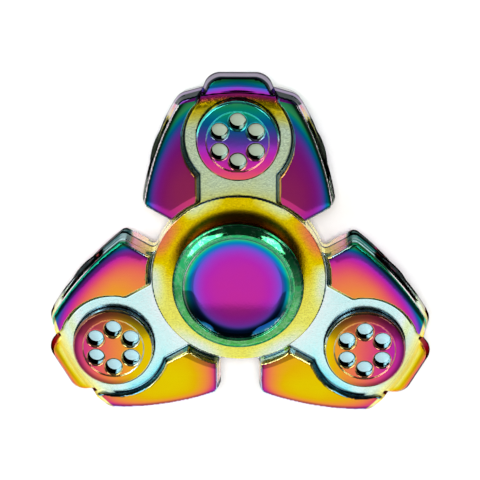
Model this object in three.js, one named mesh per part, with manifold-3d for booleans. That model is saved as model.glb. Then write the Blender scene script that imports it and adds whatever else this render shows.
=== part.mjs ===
// Three-armed fidget spinner: a die-cast body on a small ball bearing, held between two finger caps.
// Millimetres. +Z is the spin axis, and the origin is the centre of the bearing.
import * as THREE from "three";
import { mergeVertices } from "three/addons/utils/BufferGeometryUtils.js";
import Module from "manifold-3d";

const wasm = await Module();
wasm.setup();

// ---------------------------------------------------------------- driving dimensions

const ARMS = 3;
const CAP_SEGMENTS = 44;
const BEARING_SEGMENTS = 36;
const WEIGHT_SEGMENTS = 36;

const hub = { radius: 13.1, halfHeight: 2.38, edge: 0.12, boreLength: 10 };

const arm = {
  discRadius: 22, // from the spin axis to the middle of the weight disc
  webStart: 6.5, // inside the hub collar
  webEnd: 28.7,
  webHalfHeight: 2.0,
  panelHalfHeight: 3.62,
  draft: 0.65, // how far the walls lean out from the top edges to the middle plane
  neckHalfWidth: 6.27,
  recessRadius: 8.5, // round recess between the panels, about the weight disc
  recessMouth: THREE.MathUtils.degToRad(45), // where that recess opens towards the tip
  panelHubRadius: 13.9, // the panels' arc about the hub collar
  notchHalfWidth: 3.58, // half the gap between two arms
  widest: 14.0, // half width at the shoulder corner, before it is rounded
  cornerRound: 1.3,
  sideBulge: 0.7,
  endOuter: new THREE.Vector2(27.8, 8.2),
  endInner: new THREE.Vector2(28.3, 6.5),
  halfSpan: 20, // wider than the arm, for the slab that trims it
  // half height against reach, as a side view of the arm
  crown: [[5, 3.62], [14, 3.6], [19, 3.35], [26, 3.15], [28.8, 2.85], [29.1, 1.6], [33, 1.5]],
};

const tip = {
  inner: 28.2,
  outer: 31.0,
  innerHalf: 5.0,
  outerHalf: 3.9,
  round: 1.5,
  halfHeight: 1.55,
  draft: 0.35,
};

// A long pocket in each side wall, cut back to the line of the top edge, with a rail along its middle.
const pocket = {
  from: 0.14, // share of the side's length
  to: 0.8,
  reach: 3, // how far out the cut runs, past the leaning wall
  halfHeight: 1.7,
  railRoot: 1,
  railOut: 0.95,
  railHalfHeight: 0.55,
  steps: 6,
};

const weight = {
  radius: 6.15,
  halfHeight: 3.66,
  chamfer: 0.22,
  faceRadius: 4.62,
  faceStep: 0.14,
  holes: 6,
  holeRadius: 1.22,
  holeCircle: 3.1,
  holeDepth: 1.5,
  holeSides: 10,
  boreLength: 12,
  fit: 0.02,
};

const bearing = {
  boreRadius: 3.175,
  outerRadius: 6.35,
  halfWidth: 2.381,
  ballRadius: 0.794,
  balls: 10,
  pitchRadius: 4.7625,
  grooveRadius: 0.84,
  innerShoulder: 4.2,
  outerShoulder: 5.3,
  counterbore: 5.8,
  shieldThickness: 0.2,
  shieldZ: 1.78,
  shieldGap: 0.12, // from the shield to the inner race
  clipGroove: 5.98,
  clipWire: 0.2,
  clipWidth: 0.44,
  clipOpening: THREE.MathUtils.degToRad(36),
  play: 0.03, // around the shields and the clips
  fit: 0.02,
};

const cage = { inner: 4.45, outer: 5.05, low: -0.55, high: 1.15, pocket: 0.87 };

const cap = {
  bossRadius: 4.1,
  baseZ: 2.8,
  // radius and height up the outer wall, over the crest and down into the dish
  outline: [
    [9.1, 2.8],
    [9.45, 3.3],
    [9.65, 4.9],
    [9.85, 5.45],
    [9.85, 5.65],
    [8.36, 6.5],
    [8.02, 6.5],
    [7.3, 5.96],
    [6.5, 5.78],
    [5.6, 5.72],
    [0, 5.72],
  ],
  studRadius: 2.0,
  studChamfer: 0.3,
  studEnd: -1.9,
  sleeveRadius: 3.15,
  sleeveBore: 2.06,
  sleeveEnd: 2.2,
  boreEnd: -3.4,
};

// ---------------------------------------------------------------- materials

function metal(hex, roughness) {
  return new THREE.MeshStandardMaterial({ color: new THREE.Color(hex), roughness, metalness: 1 });
}

const rainbow = metal(0x9a3fb0, 0.22);
const rainbowDisc = metal(0xe07840, 0.2);
const rainbowCap = metal(0x9526b4, 0.12);
const steel = metal(0xb8bcc2, 0.25);
const brightSteel = metal(0xd6d8dc, 0.1);
const brassYellow = metal(0xc9a24a, 0.35);

// ---------------------------------------------------------------- solids

function solidOf(geometry) {
  const bare = geometry.index ? geometry.clone() : geometry;
  bare.deleteAttribute("normal");
  bare.deleteAttribute("uv");
  const merged = mergeVertices(bare, 1e-5);
  return new wasm.Manifold(
    new wasm.Mesh({
      numProp: 3,
      vertProperties: new Float32Array(merged.attributes.position.array),
      triVerts: new Uint32Array(merged.index.array),
    }),
  );
}

function geometryOf(solid) {
  const mesh = solid.getMesh();
  const positions = new Float32Array(mesh.numVert * 3);
  for (let i = 0; i < mesh.numVert; i++) {
    positions.set(mesh.vertProperties.subarray(i * mesh.numProp, i * mesh.numProp + 3), i * 3);
  }
  const geometry = new THREE.BufferGeometry();
  geometry.setAttribute("position", new THREE.BufferAttribute(positions, 3));
  geometry.setIndex(new THREE.BufferAttribute(new Uint32Array(mesh.triVerts), 1));
  geometry.computeVertexNormals();
  return geometry;
}

// A solid turned about +Z from (radius, z) points that run anticlockwise seen with +Z up.
function turned(points, segments) {
  const profile = points.map(([r, z]) => new THREE.Vector2(r, z));
  const lathe = new THREE.LatheGeometry(profile, segments);
  lathe.rotateX(Math.PI / 2);
  return lathe;
}

// A closed ring profile: the last point joins the first.
function turnedRing(points, segments) {
  return turned([...points, points[0]], segments);
}

// The shape's outline as a polygon, without the doubled points that joined curves leave.
function outlineOf(shape, curveSegments) {
  const points = shape.getPoints(curveSegments);
  const kept = points.filter((point, i) => point.distanceTo(points.at(i - 1)) > 1e-4);
  return new THREE.Shape(kept);
}

function extruded(shape, low, high, curveSegments = 4) {
  const geometry = new THREE.ExtrudeGeometry(outlineOf(shape, curveSegments), {
    depth: high - low,
    bevelEnabled: false,
  });
  return geometry.translate(0, 0, low);
}

// A plate whose walls lean out from both faces to the middle plane.
function drafted(shape, halfHeight, draft, curveSegments = 4) {
  const land = 0.1;
  const geometry = new THREE.ExtrudeGeometry(outlineOf(shape, curveSegments), {
    depth: land,
    bevelThickness: halfHeight - land / 2,
    bevelSize: draft,
    bevelSegments: 1,
  });
  return geometry.translate(0, 0, -land / 2);
}

function arcPoints(centre, radius, from, to, steps) {
  const points = [];
  for (let i = 0; i <= steps; i++) {
    const angle = from + ((to - from) * i) / steps;
    points.push([centre[0] + radius * Math.cos(angle), centre[1] + radius * Math.sin(angle)]);
  }
  return points;
}

// ---------------------------------------------------------------- body

// The notch wall is a line at notchHalfWidth from the line that runs out between two arms.
function notchPoint(distance) {
  const out = Math.PI / ARMS;
  return new THREE.Vector2(
    distance * Math.cos(out) + arm.notchHalfWidth * Math.sin(out),
    distance * Math.sin(out) - arm.notchHalfWidth * Math.cos(out),
  );
}

// Where the notch wall crosses a circle about the spin axis.
function notchOnCircle(radius) {
  return notchPoint(Math.sqrt(radius ** 2 - arm.notchHalfWidth ** 2));
}

// The sharp corner where the notch wall would meet the long side.
function sideCorner() {
  const out = Math.PI / ARMS;
  return notchPoint((arm.widest + arm.notchHalfWidth * Math.cos(out)) / Math.sin(out));
}

// The bulged long side of an arm, from its rounded corner to its outer end.
function sideCurve() {
  const corner = sideCorner();
  const along = arm.endOuter.clone().sub(corner).normalize();
  const start = corner.clone().addScaledVector(along, arm.cornerRound);
  const outward = new THREE.Vector2(-along.y, along.x);
  const control = start.clone().add(arm.endOuter).multiplyScalar(0.5);
  control.addScaledVector(outward, 2 * arm.sideBulge);
  return new THREE.QuadraticBezierCurve(start, control, arm.endOuter);
}

// A point beside the long side: share is how far along, offset how far outwards.
function besideCurve(curve, share, offset) {
  const tangent = curve.getTangent(share);
  return curve.getPoint(share).add(new THREE.Vector2(-tangent.y, tangent.x).multiplyScalar(offset));
}

function drawOuterSide(path) {
  const corner = sideCorner();
  const before = corner.clone().sub(corner.clone().sub(notchPoint(0)).setLength(arm.cornerRound));
  const curve = sideCurve();
  path.lineTo(before.x, before.y);
  path.quadraticCurveTo(corner.x, corner.y, curve.v0.x, curve.v0.y);
  path.quadraticCurveTo(curve.v1.x, curve.v1.y, curve.v2.x, curve.v2.y);
  path.lineTo(arm.endInner.x, arm.endInner.y);
}

function panelShape() {
  const path = new THREE.Shape();
  const neckStart = Math.sqrt(arm.panelHubRadius ** 2 - arm.neckHalfWidth ** 2);
  const hubCorner = notchOnCircle(arm.panelHubRadius);
  const arcFrom = Math.atan2(arm.neckHalfWidth, neckStart);
  const arcTo = Math.atan2(hubCorner.y, hubCorner.x);
  path.moveTo(neckStart, arm.neckHalfWidth);
  path.absarc(0, 0, arm.panelHubRadius, arcFrom, arcTo, false);
  drawOuterSide(path);
  const recessEnd = Math.PI - Math.asin(arm.neckHalfWidth / arm.recessRadius);
  path.absarc(arm.discRadius, 0, arm.recessRadius, arm.recessMouth, recessEnd, false);
  return path;
}

// Half of the web that carries a panel, from the hub to the arm's end.
function webShape() {
  const path = new THREE.Shape();
  const start = notchOnCircle(hub.radius - 1);
  path.moveTo(arm.webStart, 0);
  path.lineTo(start.x, start.y);
  drawOuterSide(path);
  path.lineTo(arm.webEnd, 0);
  return path;
}

function tipShape() {
  const path = new THREE.Shape();
  const corner = new THREE.Vector2(tip.outer, tip.outerHalf);
  const back = new THREE.Vector2(tip.inner, tip.innerHalf).sub(corner).setLength(tip.round).add(corner);
  path.moveTo(tip.inner, -tip.innerHalf);
  path.lineTo(back.x, -back.y);
  path.quadraticCurveTo(corner.x, -corner.y, tip.outer, tip.round - tip.outerHalf);
  path.lineTo(tip.outer, tip.outerHalf - tip.round);
  path.quadraticCurveTo(corner.x, corner.y, back.x, back.y);
  path.lineTo(tip.inner, tip.innerHalf);
  return path;
}

// A strip beside the long side, between two offsets that may vary along it.
function sideStrip(inner, outer, halfHeight) {
  const curve = sideCurve();
  const near = [];
  const far = [];
  for (let i = 0; i <= pocket.steps; i++) {
    const share = pocket.from + ((pocket.to - pocket.from) * i) / pocket.steps;
    const swell = Math.sin((Math.PI * i) / pocket.steps);
    near.push(besideCurve(curve, share, inner));
    far.push(besideCurve(curve, share, outer(swell)));
  }
  return extruded(new THREE.Shape([...near, ...far.reverse()]), -halfHeight, halfHeight);
}

function mirrored(geometry) {
  const flipped = geometry.clone().scale(1, -1, 1);
  const position = flipped.attributes.position;
  for (let i = 0; i < position.count; i += 3) {
    const [x, y, z] = [position.getX(i), position.getY(i), position.getZ(i)];
    position.setXYZ(i, position.getX(i + 1), position.getY(i + 1), position.getZ(i + 1));
    position.setXYZ(i + 1, x, y, z);
  }
  return flipped;
}

// An arm seen from the side: everything of the arm lies inside this profile.
function armEnvelope() {
  const top = arm.crown.map(([r, z]) => new THREE.Vector2(r, z));
  const bottom = arm.crown.map(([r, z]) => new THREE.Vector2(r, -z)).reverse();
  const slab = extruded(new THREE.Shape([...top, ...bottom]), -arm.halfSpan, arm.halfSpan);
  slab.rotateX(Math.PI / 2);
  return solidOf(slab);
}

function armSolid() {
  const web = extruded(webShape(), -arm.webHalfHeight, arm.webHalfHeight);
  const panel = drafted(panelShape(), arm.panelHalfHeight, arm.draft);
  const cut = sideStrip(0, () => pocket.reach, pocket.halfHeight);
  const rail = sideStrip(-pocket.railRoot, (swell) => pocket.railOut * swell, pocket.railHalfHeight);
  let solid = solidOf(drafted(tipShape(), tip.halfHeight, tip.draft));
  for (const piece of [web, mirrored(web), panel, mirrored(panel)]) {
    solid = solid.add(solidOf(piece));
  }
  for (const piece of [cut, mirrored(cut)]) {
    solid = solid.subtract(solidOf(piece));
  }
  for (const piece of [rail, mirrored(rail)]) {
    solid = solid.add(solidOf(piece));
  }
  const boreRadius = weight.radius + weight.fit;
  const bore = new THREE.CylinderGeometry(boreRadius, boreRadius, weight.boreLength, WEIGHT_SEGMENTS);
  bore.rotateX(Math.PI / 2);
  bore.translate(arm.discRadius, 0, 0);
  return solid.subtract(solidOf(bore)).intersect(armEnvelope());
}

function bodyGeometry() {
  const inside = bearing.outerRadius;
  const collar = turnedRing([
    [inside, -hub.halfHeight],
    [hub.radius - hub.edge, -hub.halfHeight],
    [hub.radius, -hub.halfHeight + hub.edge],
    [hub.radius, hub.halfHeight - hub.edge],
    [hub.radius - hub.edge, hub.halfHeight],
    [inside, hub.halfHeight],
  ], CAP_SEGMENTS);
  let solid = solidOf(collar);
  for (let i = 0; i < ARMS; i++) {
    solid = solid.add(armSolid().rotate([0, 0, 90 + (360 / ARMS) * i]));
  }
  const bore = new THREE.CylinderGeometry(inside, inside, hub.boreLength, CAP_SEGMENTS);
  bore.rotateX(Math.PI / 2);
  return geometryOf(solid.subtract(solidOf(bore)));
}

// ---------------------------------------------------------------- weight discs

function weightGeometry() {
  const face = weight.halfHeight - weight.faceStep;
  const half = [
    [weight.radius, weight.halfHeight - weight.chamfer],
    [weight.radius - weight.chamfer, weight.halfHeight],
    [weight.faceRadius, weight.halfHeight],
    [weight.faceRadius - weight.faceStep, face],
    [0, face],
  ];
  const below = half.map(([r, z]) => [r, -z]).reverse();
  let solid = solidOf(turned([...below, ...half], WEIGHT_SEGMENTS));
  for (let i = 0; i < weight.holes; i++) {
    const angle = (2 * Math.PI * i) / weight.holes;
    for (const side of [1, -1]) {
      const { holeRadius, holeDepth, holeSides } = weight;
      const drill = new THREE.CylinderGeometry(holeRadius, holeRadius, 2 * holeDepth, holeSides);
      drill.rotateX(Math.PI / 2);
      drill.translate(
        weight.holeCircle * Math.cos(angle),
        weight.holeCircle * Math.sin(angle),
        side * weight.halfHeight,
      );
      solid = solid.subtract(solidOf(drill));
    }
  }
  return geometryOf(solid);
}

// ---------------------------------------------------------------- bearing

function innerRaceGeometry() {
  const { boreRadius, innerShoulder, halfWidth, pitchRadius, grooveRadius } = bearing;
  const reach = Math.acos((pitchRadius - innerShoulder) / grooveRadius);
  const groove = arcPoints([pitchRadius, 0], grooveRadius, Math.PI + reach, Math.PI - reach, 4);
  return turnedRing([
    [boreRadius, -halfWidth],
    [innerShoulder, -halfWidth],
    ...groove,
    [innerShoulder, halfWidth],
    [boreRadius, halfWidth],
  ], BEARING_SEGMENTS);
}

function outerRaceGeometry() {
  const { outerShoulder, halfWidth, pitchRadius, grooveRadius, counterbore, clipGroove } = bearing;
  const outside = bearing.outerRadius - bearing.fit;
  const reach = Math.acos((outerShoulder - pitchRadius) / grooveRadius);
  const groove = arcPoints([pitchRadius, 0], grooveRadius, reach, -reach, 4);
  const seat = bearing.shieldZ - bearing.play;
  const clipLow = bearing.shieldZ + bearing.shieldThickness;
  const clipHigh = clipLow + bearing.clipWire + 2 * bearing.play;
  const end = [
    [outerShoulder, seat],
    [counterbore, seat],
    [counterbore, clipLow],
    [clipGroove, clipLow],
    [clipGroove, clipHigh],
    [counterbore, clipHigh],
    [counterbore, halfWidth],
  ];
  const low = end.map(([r, z]) => [r, -z]);
  const ends = [[outside, -halfWidth], [outside, halfWidth]];
  return turnedRing([...ends, ...end.reverse(), ...groove, ...low], BEARING_SEGMENTS);
}

function shieldGeometry(side) {
  const near = side * bearing.shieldZ;
  const far = side * (bearing.shieldZ + bearing.shieldThickness);
  const [low, high] = side > 0 ? [near, far] : [far, near];
  const inner = bearing.innerShoulder + bearing.shieldGap;
  const outer = bearing.counterbore - bearing.play;
  return turnedRing([[inner, low], [outer, low], [outer, high], [inner, high]], BEARING_SEGMENTS);
}

function clipGeometry(side) {
  const from = bearing.clipOpening / 2;
  const to = 2 * Math.PI - from;
  const outer = bearing.clipGroove - bearing.play;
  const shape = new THREE.Shape();
  shape.absarc(0, 0, outer, from, to, false);
  shape.absarc(0, 0, outer - bearing.clipWidth, to, from, true);
  const base = bearing.shieldZ + bearing.shieldThickness + bearing.play;
  const low = side > 0 ? base : -base - bearing.clipWire;
  return extruded(shape, low, low + bearing.clipWire, 12);
}

function ballPlace(index) {
  const angle = (2 * Math.PI * (index + 0.5)) / bearing.balls;
  return [bearing.pitchRadius * Math.cos(angle), bearing.pitchRadius * Math.sin(angle), 0];
}

function cageGeometry() {
  const { inner, outer, low, high } = cage;
  const ring = turnedRing([[inner, low], [outer, low], [outer, high], [inner, high]], BEARING_SEGMENTS);
  let solid = solidOf(ring);
  for (let i = 0; i < bearing.balls; i++) {
    const cut = new THREE.SphereGeometry(cage.pocket, 10, 6);
    cut.translate(...ballPlace(i));
    solid = solid.subtract(solidOf(cut));
  }
  return geometryOf(solid);
}

// ---------------------------------------------------------------- finger caps

// The dished head above the boss that meets the inner race.
function capHead() {
  return [
    [cap.bossRadius, bearing.halfWidth],
    [cap.bossRadius, cap.baseZ],
    ...cap.outline,
  ];
}

function topCapGeometry() {
  const stud = [
    [0, cap.studEnd],
    [cap.studRadius - cap.studChamfer, cap.studEnd],
    [cap.studRadius, cap.studEnd + cap.studChamfer],
    [cap.studRadius, bearing.halfWidth],
  ];
  return turned([...stud, ...capHead()], CAP_SEGMENTS);
}

function bottomCapGeometry() {
  const head = capHead().map(([r, z]) => [r, -z]);
  const sleeve = [
    [cap.sleeveRadius, -bearing.halfWidth],
    [cap.sleeveRadius, cap.sleeveEnd],
    [cap.sleeveBore, cap.sleeveEnd],
    [cap.sleeveBore, cap.boreEnd],
    [0, cap.boreEnd],
  ];
  return turned([...head.reverse(), ...sleeve], CAP_SEGMENTS);
}

// ---------------------------------------------------------------- assembly

const spinner = new THREE.Group();

function place(name, geometry, material, parent = spinner) {
  const mesh = new THREE.Mesh(geometry, material);
  mesh.name = name;
  parent.add(mesh);
  return mesh;
}

place("body", bodyGeometry(), rainbow);

for (let i = 0; i < ARMS; i++) {
  const turn = new THREE.Group();
  turn.rotation.z = Math.PI / 2 + (2 * Math.PI * i) / ARMS;
  spinner.add(turn);
  place(`weight_disc_${i + 1}`, weightGeometry(), rainbowDisc, turn).position.x = arm.discRadius;
}

place("bearing_outer_race", outerRaceGeometry(), steel);
place("bearing_inner_race", innerRaceGeometry(), steel);
place("bearing_cage", cageGeometry(), brassYellow);
for (let i = 0; i < bearing.balls; i++) {
  const ball = new THREE.SphereGeometry(bearing.ballRadius, 10, 6);
  place(`bearing_ball_${String(i + 1).padStart(2, "0")}`, ball, brightSteel).position.set(...ballPlace(i));
}
for (const [side, word] of [[1, "top"], [-1, "bottom"]]) {
  place(`bearing_shield_${word}`, shieldGeometry(side), steel);
  place(`shield_clip_${word}`, clipGeometry(side), brightSteel);
}

place("finger_cap_top", topCapGeometry(), rainbowCap);
place("finger_cap_bottom", bottomCapGeometry(), rainbowCap);

export default spinner;
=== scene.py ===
"""Fidget spinner: a rainbow-plated casting with three armoured arms, round weights and dished caps.

Lengths below are in millimetres and become metres where a mesh is made. The weights and the bearing
take their sizes and places from the frame; the outlines of the casting and the caps are given here.
"""

import math

import bmesh
import bpy
import numpy as np
from mathutils import Matrix, Vector


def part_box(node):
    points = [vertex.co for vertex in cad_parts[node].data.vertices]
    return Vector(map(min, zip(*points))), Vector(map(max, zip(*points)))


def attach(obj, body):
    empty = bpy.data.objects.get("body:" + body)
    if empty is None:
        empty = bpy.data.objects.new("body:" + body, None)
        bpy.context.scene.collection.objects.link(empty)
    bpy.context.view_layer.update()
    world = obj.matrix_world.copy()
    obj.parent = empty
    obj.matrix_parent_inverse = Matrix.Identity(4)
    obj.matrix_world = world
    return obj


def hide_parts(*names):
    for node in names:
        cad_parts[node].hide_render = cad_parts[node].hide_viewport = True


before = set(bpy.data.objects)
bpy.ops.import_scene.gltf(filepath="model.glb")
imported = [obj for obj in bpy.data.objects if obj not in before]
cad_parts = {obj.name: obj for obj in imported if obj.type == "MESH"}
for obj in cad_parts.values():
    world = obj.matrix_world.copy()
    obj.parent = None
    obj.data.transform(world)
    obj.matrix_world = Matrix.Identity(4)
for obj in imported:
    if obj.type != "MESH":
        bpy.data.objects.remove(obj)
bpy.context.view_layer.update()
MM = 0.001


# ------------------------------ sizes


def node_box(name):
    """Lowest and highest corners of a CAD node, in millimetres."""
    low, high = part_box(name)
    return np.array(low) / MM, np.array(high) / MM


disc_low, disc_high = node_box("weight_disc_1")
inner_low, inner_high = node_box("bearing_inner_race")
body_low, body_high = node_box("body")

ARMS = 3
BALLS = 10
DISC_AT = (disc_low[1] + disc_high[1]) / 2
DISC_RADIUS = (disc_high[0] - disc_low[0]) / 2
DISC_TOP = disc_high[2]
CAP_TOP = node_box("finger_cap_top")[1][2]

# The casting's hub, the flat web of its arms and the armour panels on the web.
HUB_RADIUS = 13.1
HUB_TOP = 2.38
HUB_BORE = 6.35
PLATE_TOP = 2.0
PLATE_END = 28.9
PANEL_TOP = 3.62
PANEL_FALL = 0.042
PANEL_HUB_RADIUS = 13.9
DRAFT = 0.38
TIP_DRAFT = 0.3
INNER_DRAFT = 0.34

# Where the web shows between the panels: the neck, the recess round a weight and the arm's mouth.
NECK_HALF = 6.27
RECESS_RADIUS = 8.5
MOUTH_HALF = 6.3
MOUTH_START = 26.0

# The outline of an arm, as places along and across it: a notch, a curved side and a slanting end.
NOTCH_HALF = 3.36
SIDE_START = (13.5, 13.72)
SIDE_MIDDLE = (20.9, 11.64)
SIDE_END = (27.8, 8.24)
END_INNER = (28.3, 6.5)
END_WALL_AT = 28.6
CORNER_ROUND = 0.6

# The low block beyond the end of an arm.
TIP_START = 28.65
TIP_END = 31.0
TIP_TOP = 1.62
TIP_LEAN = 0.62
TIP_FLANK = (28.2, 5.0)
TIP_SLANT = (1.1, 2.8)

# The long pockets in an arm's side, above and below the rail that runs at mid-height.
POCKET_START = 0.12
POCKET_LENGTH = 0.68
POCKET_HEIGHT = 1.35
POCKET_HALF = 0.85
POCKET_DEPTH = 0.12
RAIL_TOP = 0.5
RAIL_OUT = 0.86


# ------------------------------ field arithmetic


def smooth_min(a, b, blend):
    share = np.clip(0.5 + 0.5 * (b - a) / blend, 0, 1)
    return b + (a - b) * share - blend * share * (1 - share)


def smooth_max(a, b, blend):
    return -smooth_min(-a, -b, blend)


def round_max(a, b, radius):
    """The larger of two distances, with their shared edge rounded to a radius."""
    outside = np.hypot(np.maximum(a + radius, 0), np.maximum(b + radius, 0)) - radius
    return np.where(np.maximum(a, b) < -radius, np.maximum(a, b), outside)


def bevel_max(a, b, width):
    """The larger of two distances, with a flat 45 degree bevel on their shared edge."""
    return np.maximum(np.maximum(a, b), (a + b + width) * math.sqrt(0.5))


def ease(low, high, value):
    t = np.clip((value - low) / (high - low), 0, 1)
    return t * t * (3 - 2 * t)


def circle_through(a, b, c):
    """Centre and radius of the circle through three points of a plane."""
    (ax, ay), (bx, by), (cx, cy) = a, b, c
    twice = 2 * (ax * (by - cy) + bx * (cy - ay) + cx * (ay - by))
    aa, bb, cc = ax * ax + ay * ay, bx * bx + by * by, cx * cx + cy * cy
    x = (aa * (by - cy) + bb * (cy - ay) + cc * (ay - by)) / twice
    y = (aa * (cx - bx) + bb * (ax - cx) + cc * (bx - ax)) / twice
    return (x, y), math.hypot(ax - x, ay - y)


SIDE_CENTRE, SIDE_RADIUS = circle_through(SIDE_START, SIDE_MIDDLE, SIDE_END)


def side_share(along, across):
    """How far along a side a place is, from 0 at its start to 1 at its end; also takes node values."""
    run_x, run_y = SIDE_END[0] - SIDE_START[0], SIDE_END[1] - SIDE_START[1]
    length = run_x**2 + run_y**2
    return (along - SIDE_START[0]) * (run_x / length) + (across - SIDE_START[1]) * (run_y / length)


# ------------------------------ the casting as a distance field


def fold(x, y):
    """Coordinates along and across the nearest arm; across is never negative."""
    turn = 2 * math.pi / ARMS
    angle = np.arctan2(y, x) - math.pi / 2
    angle = angle - turn * np.round(angle / turn)
    reach = np.hypot(x, y)
    return reach * np.cos(angle), reach * np.abs(np.sin(angle)), reach


def plan_distances(along, across, reach):
    """Distances from the edges of an arm in plan, positive outside it."""
    tilt = math.pi / ARMS
    notch = NOTCH_HALF - (math.sin(tilt) * along - math.cos(tilt) * across)
    side = np.hypot(along - SIDE_CENTRE[0], across - SIDE_CENTRE[1]) - SIDE_RADIUS
    run = math.hypot(SIDE_END[0] - END_INNER[0], SIDE_END[1] - END_INNER[1])
    end = (along - END_INNER[0]) * (SIDE_END[1] - END_INNER[1])
    end = (end - (across - END_INNER[1]) * (SIDE_END[0] - END_INNER[0])) / run
    strip = np.maximum(across - NECK_HALF, along - DISC_AT)
    circle = np.hypot(along - DISC_AT, across) - RECESS_RADIUS
    mouth = np.maximum(across - MOUTH_HALF, MOUTH_START - along)
    inner = -smooth_min(smooth_min(strip, circle, 0.25), mouth, 0.3)
    hub = PANEL_HUB_RADIUS - reach
    return notch, side, end, inner, hub


def wall_lean(along, height):
    """How far a wall stands out below the top of the panels, more of it towards the tip."""
    return (DRAFT + TIP_DRAFT * ease(18.0, 26.0, along)) * (1 - height / PANEL_TOP)


def panel_field(along, height, edges):
    notch, side, end, inner, hub = edges
    lean = wall_lean(along, height)
    inner_lean = INNER_DRAFT * (PANEL_TOP - height)
    outline = round_max(notch - lean, side - lean, CORNER_ROUND)
    outline = round_max(outline, end - lean, 0.5)
    inside = round_max(inner - inner_lean, hub - inner_lean, 0.25)
    outline = round_max(outline, inside, 0.12)
    crown = PANEL_TOP - PANEL_FALL * (along - 10.5)
    fall = 0.17 * np.exp(side / 0.8) + 0.14 * np.exp(notch / 1.1) + 0.16 * np.exp(end / 1.2)
    facet = 0.95 + hub
    fall = fall + PANEL_FALL * (facet + np.hypot(facet, 0.15)) + 0.05 * np.exp(inner / 0.6)
    top = height - (crown - np.minimum(fall, 0.5))
    return bevel_max(outline, top, 0.13)


def web_field(along, reach, height, edges):
    notch, side = edges[:2]
    lean = wall_lean(along, height)
    outline = round_max(notch - lean, side - lean, CORNER_ROUND)
    outline = round_max(outline, reach - PLATE_END, 0.1)
    corner = 0.1 + 1.3 * ease(-0.8, 0.3, np.maximum(notch, side))
    outline = smooth_min(outline, reach - HUB_RADIUS, corner)
    top = PLATE_TOP - 0.36 * ease(27.0, 28.75, reach)
    return smooth_max(outline, height - top, 0.1)


def tip_field(along, across, reach, height):
    lean = TIP_LEAN * (1 - height / 1.5)
    slant_along, slant_across = TIP_SLANT
    flank = (along - TIP_FLANK[0]) * slant_along + (across - TIP_FLANK[1]) * slant_across
    flank = flank / math.hypot(slant_along, slant_across)
    outline = round_max(along - TIP_END - lean, flank - lean, 1.5)
    outline = round_max(outline, TIP_START - reach, 0.1)
    top = height - (TIP_TOP - 0.13 * (reach - 29.9) ** 2)
    return bevel_max(outline, top, 0.12)


def side_pocket(body, along, across, height, side):
    """Cuts the long pocket into the side wall and adds the rail at mid-height."""
    share = side_share(along, across)
    in_pocket = np.clip((share - POCKET_START) / POCKET_LENGTH, 0, 1)
    swell = np.maximum(np.sin(math.pi * in_pocket), 0)
    band = np.abs(height - POCKET_HEIGHT) - POCKET_HALF * np.sqrt(swell)
    beyond = -POCKET_DEPTH - side
    cut = np.maximum(np.maximum(band, beyond), 0.02 - swell)
    body = smooth_max(body, -cut, 0.1)
    rail = np.maximum(side - RAIL_OUT * swell + 0.1, height - RAIL_TOP)
    rail = np.maximum(rail, -side - 2)
    return np.where((share > 0) & (share < 1), smooth_min(body, rail, 0.08), body)


def body_field(x, y, z):
    """Distance-like field of the whole casting, negative inside."""
    height = np.sqrt(z * z + 0.05**2)
    along, across, reach = fold(x, y)
    edges = plan_distances(along, across, reach)
    web = web_field(along, reach, height, edges)
    hub = smooth_max(reach - HUB_RADIUS, height - HUB_TOP, 0.14)
    body = smooth_min(web, hub, 0.1)
    body = smooth_min(body, panel_field(along, height, edges), 0.28)
    body = smooth_min(body, tip_field(along, across, reach, height), 0.1)
    body = side_pocket(body, along, across, height, edges[1])
    bore = DISC_RADIUS + 0.03 - np.hypot(along - DISC_AT, across)
    body = smooth_max(body, bore, 0.08)
    return smooth_max(body, HUB_BORE - reach, 0.1)


# ------------------------------ the weights as a distance field

HOLES = 6
HOLE_CIRCLE = 3.1
HOLE_RADIUS = 1.22
HOLE_FLOOR = 1.75
STEP_RADIUS = 4.62
STEP = 0.14
RING_LEAN = 0.085
FACE_LEAN = 0.006


def disc_field(x, y, z):
    height = np.abs(z)
    reach = np.hypot(x, y)
    top = DISC_TOP - STEP * ease(STEP_RADIUS + 0.08, STEP_RADIUS - 0.08, reach)
    top = top - RING_LEAN * np.maximum(reach - STEP_RADIUS, 0)
    top = top + FACE_LEAN * np.maximum(STEP_RADIUS**2 - reach**2, 0)
    disc = bevel_max(reach - DISC_RADIUS, height - top, 0.24)
    turn = 2 * math.pi / HOLES
    angle = np.arctan2(y, x)
    angle = angle - turn * np.round(angle / turn)
    from_hole = np.hypot(reach * np.cos(angle) - HOLE_CIRCLE, reach * np.sin(angle))
    mouth = HOLE_RADIUS + np.maximum(height - (DISC_TOP - STEP - 0.16), 0)
    hole = smooth_max(from_hole - mouth, HOLE_FLOOR - height, 0.12)
    return smooth_max(disc, -hole, 0.05)


# ------------------------------ from fields to meshes


def clear_pinches(grid, rounds=8):
    """Fills grid corners where the surface would touch itself, so that every mesh edge joins two faces."""
    for _ in range(rounds):
        pinched = 0
        for u, v in ((0, 1), (1, 2), (2, 0)):
            step_u, step_v = np.eye(3, dtype=int)[u], np.eye(3, dtype=int)[v]
            inside = grid < 0
            near, far = [slice(None)] * 3, [slice(None)] * 3
            near[u] = near[v] = slice(0, -1)
            far[u] = far[v] = slice(1, None)
            beside, above = list(near), list(near)
            beside[u] = slice(1, None)
            above[v] = slice(1, None)
            a, b, c, d = [inside[tuple(part)] for part in (near, beside, above, far)]
            for place in np.argwhere((a & d & ~b & ~c) | (b & c & ~a & ~d)):
                corners = [place, place + step_u, place + step_v, place + step_u + step_v]
                outside = [tuple(corner) for corner in corners if grid[tuple(corner)] >= 0]
                if len(outside) == 2:
                    grid[min(outside, key=lambda corner: grid[corner])] = -1e-3
                    pinched += 1
        if pinched == 0:
            return


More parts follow.
